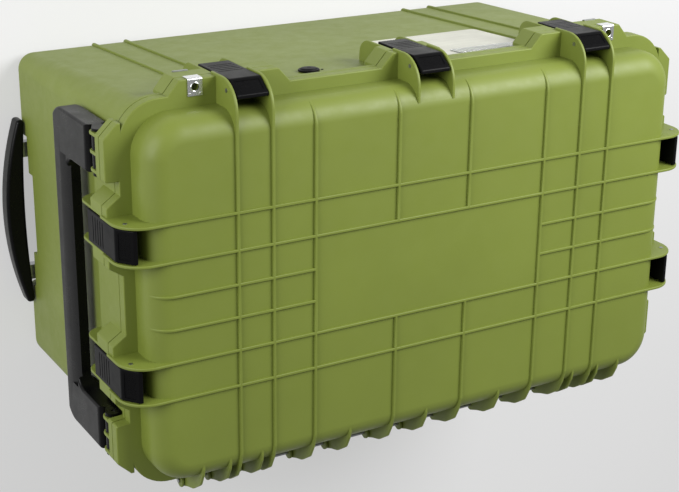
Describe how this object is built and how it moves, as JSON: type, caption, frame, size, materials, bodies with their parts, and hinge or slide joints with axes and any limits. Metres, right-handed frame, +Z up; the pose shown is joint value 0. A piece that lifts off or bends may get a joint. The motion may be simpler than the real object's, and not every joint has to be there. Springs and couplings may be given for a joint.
{
  "type": "hard equipment case",
  "caption": "Large wheeled hard equipment case with hinged ribbed lid, latches on three sides, folding side handles and a retractable pull handle.",
  "frame": {"origin": "on the floor, under the middle of the case", "axes": "+X towards the pull-handle end, -Y towards the side with three latches, +Z up, lid on top"},
  "size_m": [0.8, 0.5075, 0.433],
  "materials": {
    "green_shell": "moulded olive-green polymer with a fine satin texture",
    "black_plastic": "satin black moulded plastic",
    "latch_black": "semi-gloss black moulded plastic with a stippled panel",
    "handle_black": "semi-gloss black moulded plastic",
    "steel": "plain stainless steel",
    "bright_steel": "bright stainless sheet",
    "tube_aluminium": "satin anodised tube",
    "seal_rubber": "soft black rubber",
    "wheel_tyre": "firm black polyurethane",
    "foam": "open-cell charcoal foam",
    "label_white": "plain white label, satin",
    "clear_plastic": "clear plastic window"
  },
  "bodies": {
    "base": {"base_shell": "green_shell", "hinge_rod": "steel", "latch_catch_pins": "steel", "side_handle_pins": "steel", "base_padlock_plates": "bright_steel", "valve_body": "black_plastic", "valve_o_ring": "seal_rubber", "valve_nut": "black_plastic", "label_card": "label_white", "label_window": "clear_plastic", "handle_guide": "black_plastic", "guide_screws": "steel", "wheel_housings": "black_plastic", "housing_screws": "steel", "wheel_axles": "steel", "rubber_feet": "seal_rubber"},
    "lid": {"lid_shell": "green_shell", "lid_gasket": "seal_rubber", "lid_foam": "foam", "latch_pivot_pins": "steel", "lid_padlock_plates": "bright_steel"},
    "side_handle_left": {"side_handle_left": "handle_black"},
    "side_handle_right": {"side_handle_right": "handle_black"},
    "pull_handle": {"pull_grip": "handle_black", "pull_tubes": "tube_aluminium", "tube_stops": "black_plastic"},
    "wheel_front": {"wheel_tyre_front": "wheel_tyre", "wheel_hub_front": "black_plastic", "wheel_bearings_front": "steel"},
    "wheel_rear": {"wheel_tyre_rear": "wheel_tyre", "wheel_hub_rear": "black_plastic", "wheel_bearings_rear": "steel"},
    "lever_front_left": {"latch_lever_front_left": "latch_black", "hook_pin_front_left": "steel"},
    "hook_front_left": {"latch_hook_front_left": "steel"},
    "lever_front_centre": {"latch_lever_front_centre": "latch_black", "hook_pin_front_centre": "steel"},
    "hook_front_centre": {"latch_hook_front_centre": "steel"},
    "lever_front_right": {"latch_lever_front_right": "latch_black", "hook_pin_front_right": "steel"},
    "hook_front_right": {"latch_hook_front_right": "steel"},
    "lever_left_front": {"latch_lever_left_front": "latch_black", "hook_pin_left_front": "steel"},
    "hook_left_front": {"latch_hook_left_front": "steel"},
    "lever_left_rear": {"latch_lever_left_rear": "latch_black", "hook_pin_left_rear": "steel"},
    "hook_left_rear": {"latch_hook_left_rear": "steel"},
    "lever_right_front": {"latch_lever_right_front": "latch_black", "hook_pin_right_front": "steel"},
    "hook_right_front": {"latch_hook_right_front": "steel"},
    "lever_right_rear": {"latch_lever_right_rear": "latch_black", "hook_pin_right_rear": "steel"},
    "hook_right_rear": {"latch_hook_right_rear": "steel"}
  },
  "joints": [
    {"name": "lid_hinge", "type": "hinge", "parent": "base", "child": "lid", "pos_m": [0, 0.2455, 0.37], "axis": [-1, 0, 0], "range_deg": [0, 100]},
    {"name": "latch_front_left", "type": "hinge", "parent": "lid", "child": "lever_front_left", "pos_m": [-0.2386, -0.2405, 0.41], "axis": [-1, 0, 0], "range_deg": [0, 110]},
    {"name": "hook_front_left", "type": "hinge", "parent": "lever_front_left", "child": "hook_front_left", "pos_m": [-0.2386, -0.242, 0.378], "axis": [-1, 0, 0], "range_deg": [-55, 0]},
    {"name": "latch_front_centre", "type": "hinge", "parent": "lid", "child": "lever_front_centre", "pos_m": [0, -0.2405, 0.41], "axis": [-1, 0, 0], "range_deg": [0, 110]},
    {"name": "hook_front_centre", "type": "hinge", "parent": "lever_front_centre", "child": "hook_front_centre", "pos_m": [0, -0.242, 0.378], "axis": [-1, 0, 0], "range_deg": [-55, 0]},
    {"name": "latch_front_right", "type": "hinge", "parent": "lid", "child": "lever_front_right", "pos_m": [0.2386, -0.2405, 0.41], "axis": [-1, 0, 0], "range_deg": [0, 110]},
    {"name": "hook_front_right", "type": "hinge", "parent": "lever_front_right", "child": "hook_front_right", "pos_m": [0.2386, -0.242, 0.378], "axis": [-1, 0, 0], "range_deg": [-55, 0]},
    {"name": "latch_left_front", "type": "hinge", "parent": "lid", "child": "lever_left_front", "pos_m": [-0.387, -0.0832, 0.41], "axis": [0, 1, 0], "range_deg": [0, 110]},
    {"name": "hook_left_front", "type": "hinge", "parent": "lever_left_front", "child": "hook_left_front", "pos_m": [-0.3885, -0.0832, 0.378], "axis": [0, 1, 0], "range_deg": [-55, 0]},
    {"name": "latch_left_rear", "type": "hinge", "parent": "lid", "child": "lever_left_rear", "pos_m": [-0.387, 0.0832, 0.41], "axis": [0, 1, 0], "range_deg": [0, 110]},
    {"name": "hook_left_rear", "type": "hinge", "parent": "lever_left_rear", "child": "hook_left_rear", "pos_m": [-0.3885, 0.0832, 0.378], "axis": [0, 1, 0], "range_deg": [-55, 0]},
    {"name": "latch_right_front", "type": "hinge", "parent": "lid", "child": "lever_right_front", "pos_m": [0.387, -0.0832, 0.41], "axis": [0, -1, 0], "range_deg": [0, 110]},
    {"name": "hook_right_front", "type": "hinge", "parent": "lever_right_front", "child": "hook_right_front", "pos_m": [0.3885, -0.0832, 0.378], "axis": [0, -1, 0], "range_deg": [-55, 0]},
    {"name": "latch_right_rear", "type": "hinge", "parent": "lid", "child": "lever_right_rear", "pos_m": [0.387, 0.0832, 0.41], "axis": [0, -1, 0], "range_deg": [0, 110]},
    {"name": "hook_right_rear", "type": "hinge", "parent": "lever_right_rear", "child": "hook_right_rear", "pos_m": [0.3885, 0.0832, 0.378], "axis": [0, -1, 0], "range_deg": [-55, 0]},
    {"name": "side_handle_left", "type": "hinge", "parent": "base", "child": "side_handle_left", "pos_m": [-0.386, 0, 0.346], "axis": [0, 1, 0], "range_deg": [0, 90]},
    {"name": "side_handle_right", "type": "hinge", "parent": "base", "child": "side_handle_right", "pos_m": [0.386, 0, 0.346], "axis": [0, -1, 0], "range_deg": [0, 90]},
    {"name": "pull_handle_slide", "type": "slide", "parent": "base", "child": "pull_handle", "axis": [1, 0, 0], "range_m": [0, 0.335]},
    {"name": "wheel_spin_front", "type": "hinge", "parent": "base", "child": "wheel_front", "pos_m": [-0.345, -0.16, 0.044], "axis": [0, 1, 0], "continuous": true},
    {"name": "wheel_spin_rear", "type": "hinge", "parent": "base", "child": "wheel_rear", "pos_m": [-0.345, 0.16, 0.044], "axis": [0, 1, 0], "continuous": true}
  ],
  "couplings": [
    {"joint": "hook_front_left", "follows": "latch_front_left", "ratio": -0.5},
    {"joint": "hook_front_centre", "follows": "latch_front_centre", "ratio": -0.5},
    {"joint": "hook_front_right", "follows": "latch_front_right", "ratio": -0.5},
    {"joint": "hook_left_front", "follows": "latch_left_front", "ratio": -0.5},
    {"joint": "hook_left_rear", "follows": "latch_left_rear", "ratio": -0.5},
    {"joint": "hook_right_front", "follows": "latch_right_front", "ratio": -0.5},
    {"joint": "hook_right_rear", "follows": "latch_right_rear", "ratio": -0.5}
  ]
}
